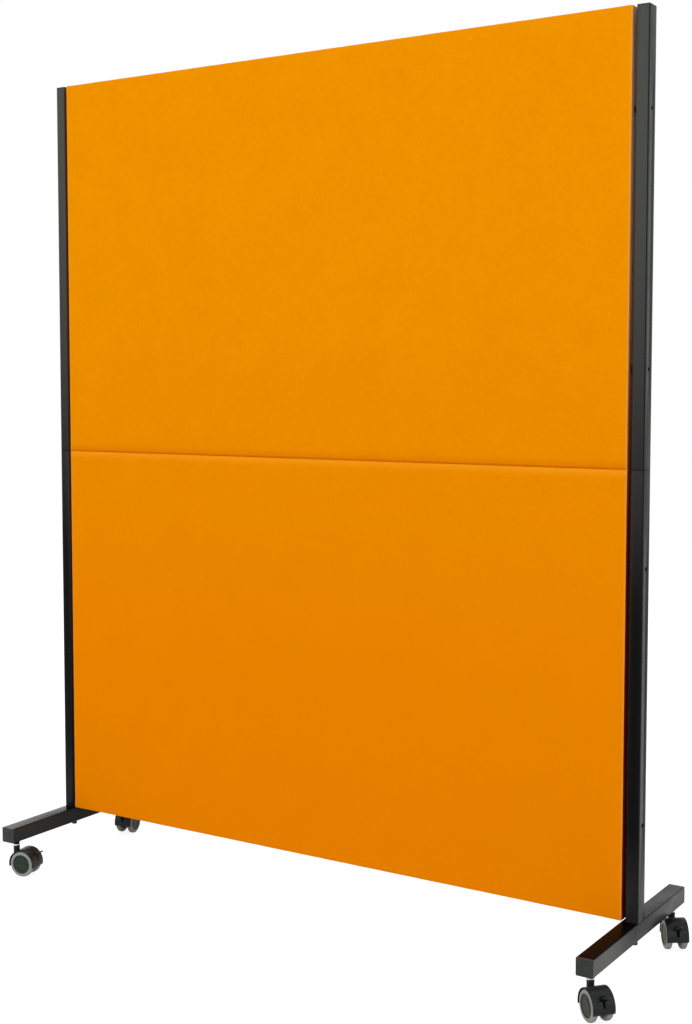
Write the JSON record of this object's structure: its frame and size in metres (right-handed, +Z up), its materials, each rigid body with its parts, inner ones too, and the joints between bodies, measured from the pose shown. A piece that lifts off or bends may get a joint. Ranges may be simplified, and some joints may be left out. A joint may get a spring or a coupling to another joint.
{
  "type": "rolling partition",
  "caption": "Free-standing rolling partition: stacked upholstered fabric panels between square steel posts, on tubular feet with braked twin-wheel castors.",
  "frame": {"origin": "on the floor, midway between the two feet along X and midway along the feet in Y", "axes": "+X along the panels to the right as seen from the front, the front faces -Y, +Z up"},
  "size_m": [1.7659, 0.569, 2.132],
  "materials": {
    "orange_fabric": "fine melange woven upholstery",
    "black_powder_coat": "semi-gloss fine-texture powder coat",
    "black_cap_plastic": "satin moulded plastic",
    "castor_plastic": "satin moulded nylon",
    "hub_plastic": "satin moulded plastic, dark grey-green",
    "grey_tread": "matte soft grey tread",
    "zinc_steel": "bright zinc plate",
    "bare_steel": "plain steel",
    "black_steel": "black oxide",
    "black_rubber": "matte",
    "timber": "planed pine",
    "honeycomb_board": "plain board"
  },
  "bodies": {
    "frame": {"foot_left": "black_powder_coat", "foot_right": "black_powder_coat", "foot_end_caps": "black_cap_plastic", "castor_bushes": "black_powder_coat", "post_lower_left": "black_powder_coat", "post_lower_right": "black_powder_coat", "post_upper_left": "black_powder_coat", "post_upper_right": "black_powder_coat", "post_joiners": "bare_steel", "post_plugs": "bare_steel", "post_caps": "black_cap_plastic", "foot_bolts": "black_steel", "foot_washers": "black_steel", "panel_frame_lower": "timber", "panel_frame_upper": "timber", "panel_core_lower": "honeycomb_board", "panel_core_upper": "honeycomb_board", "panel_cover_lower": "orange_fabric", "panel_cover_upper": "orange_fabric", "panel_screws": "black_steel", "panel_spacers": "black_rubber", "panel_inserts": "zinc_steel", "castor_front_left_stem": "zinc_steel", "castor_front_right_stem": "zinc_steel", "castor_back_left_stem": "zinc_steel", "castor_back_right_stem": "zinc_steel"},
    "castor_front_left_housing": {"castor_front_left_housing": "castor_plastic", "castor_front_left_axle": "bare_steel", "castor_front_left_lever_pin": "bare_steel"},
    "castor_front_left_inner_wheel": {"castor_front_left_inner_hub": "hub_plastic", "castor_front_left_inner_tread": "grey_tread"},
    "castor_front_left_outer_wheel": {"castor_front_left_outer_hub": "hub_plastic", "castor_front_left_outer_tread": "grey_tread"},
    "castor_front_left_lever": {"castor_front_left_lever": "castor_plastic"},
    "castor_front_right_housing": {"castor_front_right_housing": "castor_plastic", "castor_front_right_axle": "bare_steel", "castor_front_right_lever_pin": "bare_steel"},
    "castor_front_right_inner_wheel": {"castor_front_right_inner_hub": "hub_plastic", "castor_front_right_inner_tread": "grey_tread"},
    "castor_front_right_outer_wheel": {"castor_front_right_outer_hub": "hub_plastic", "castor_front_right_outer_tread": "grey_tread"},
    "castor_front_right_lever": {"castor_front_right_lever": "castor_plastic"},
    "castor_back_left_housing": {"castor_back_left_housing": "castor_plastic", "castor_back_left_axle": "bare_steel", "castor_back_left_lever_pin": "bare_steel"},
    "castor_back_left_inner_wheel": {"castor_back_left_inner_hub": "hub_plastic", "castor_back_left_inner_tread": "grey_tread"},
    "castor_back_left_outer_wheel": {"castor_back_left_outer_hub": "hub_plastic", "castor_back_left_outer_tread": "grey_tread"},
    "castor_back_left_lever": {"castor_back_left_lever": "castor_plastic"},
    "castor_back_right_housing": {"castor_back_right_housing": "castor_plastic", "castor_back_right_axle": "bare_steel", "castor_back_right_lever_pin": "bare_steel"},
    "castor_back_right_inner_wheel": {"castor_back_right_inner_hub": "hub_plastic", "castor_back_right_inner_tread": "grey_tread"},
    "castor_back_right_outer_wheel": {"castor_back_right_outer_hub": "hub_plastic", "castor_back_right_outer_tread": "grey_tread"},
    "castor_back_right_lever": {"castor_back_right_lever": "castor_plastic"}
  },
  "joints": [
    {"name": "castor_front_left_swivel", "type": "hinge", "parent": "frame", "child": "castor_front_left_housing", "pos_m": [-0.836, -0.237, 0.0596], "axis": [0, 0, 1], "continuous": true},
    {"name": "castor_front_left_inner_wheel_spin", "type": "hinge", "parent": "castor_front_left_housing", "child": "castor_front_left_inner_wheel", "pos_m": [-0.80763, -0.23097, 0.034], "axis": [-0.2079, 0.9781, 0], "continuous": true},
    {"name": "castor_front_left_outer_wheel_spin", "type": "hinge", "parent": "castor_front_left_housing", "child": "castor_front_left_outer_wheel", "pos_m": [-0.80763, -0.23097, 0.034], "axis": [-0.2079, 0.9781, 0], "continuous": true},
    {"name": "castor_front_left_brake", "type": "hinge", "parent": "castor_front_left_housing", "child": "castor_front_left_lever", "pos_m": [-0.79003, -0.22723, 0.05545], "axis": [-0.2079, 0.9781, 0], "range_deg": [0, 18]},
    {"name": "castor_front_right_swivel", "type": "hinge", "parent": "frame", "child": "castor_front_right_housing", "pos_m": [0.836, -0.237, 0.0596], "axis": [0, 0, 1], "continuous": true},
    {"name": "castor_front_right_inner_wheel_spin", "type": "hinge", "parent": "castor_front_right_housing", "child": "castor_front_right_inner_wheel", "pos_m": [0.85821, -0.25564, 0.034], "axis": [0.6428, 0.766, 0], "continuous": true},
    {"name": "castor_front_right_outer_wheel_spin", "type": "hinge", "parent": "castor_front_right_housing", "child": "castor_front_right_outer_wheel", "pos_m": [0.85821, -0.25564, 0.034], "axis": [0.6428, 0.766, 0], "continuous": true},
    {"name": "castor_front_right_brake", "type": "hinge", "parent": "castor_front_right_housing", "child": "castor_front_right_lever", "pos_m": [0.872, -0.26721, 0.05545], "axis": [0.6428, 0.766, 0], "range_deg": [0, 18]},
    {"name": "castor_back_left_swivel", "type": "hinge", "parent": "frame", "child": "castor_back_left_housing", "pos_m": [-0.836, 0.237, 0.0596], "axis": [0, 0, 1], "continuous": true},
    {"name": "castor_back_left_inner_wheel_spin", "type": "hinge", "parent": "castor_back_left_housing", "child": "castor_back_left_inner_wheel", "pos_m": [-0.82898, 0.20886, 0.034], "axis": [0.9703, 0.2419, 0], "continuous": true},
    {"name": "castor_back_left_outer_wheel_spin", "type": "hinge", "parent": "castor_back_left_housing", "child": "castor_back_left_outer_wheel", "pos_m": [-0.82898, 0.20886, 0.034], "axis": [0.9703, 0.2419, 0], "continuous": true},
    {"name": "castor_back_left_brake", "type": "hinge", "parent": "castor_back_left_housing", "child": "castor_back_left_lever", "pos_m": [-0.82463, 0.1914, 0.05545], "axis": [0.9703, 0.2419, 0], "range_deg": [0, 18]},
    {"name": "castor_back_right_swivel", "type": "hinge", "parent": "frame", "child": "castor_back_right_housing", "pos_m": [0.836, 0.237, 0.0596], "axis": [0, 0, 1], "continuous": true},
    {"name": "castor_back_right_inner_wheel_spin", "type": "hinge", "parent": "castor_back_right_housing", "child": "castor_back_right_inner_wheel", "pos_m": [0.85263, 0.21324, 0.034], "axis": [0.8192, 0.5736, 0], "continuous": true},
    {"name": "castor_back_right_outer_wheel_spin", "type": "hinge", "parent": "castor_back_right_housing", "child": "castor_back_right_outer_wheel", "pos_m": [0.85263, 0.21324, 0.034], "axis": [0.8192, 0.5736, 0], "continuous": true},
    {"name": "castor_back_right_brake", "type": "hinge", "parent": "castor_back_right_housing", "child": "castor_back_right_lever", "pos_m": [0.86296, 0.1985, 0.05545], "axis": [0.8192, 0.5736, 0], "range_deg": [0, 18]}
  ]
}
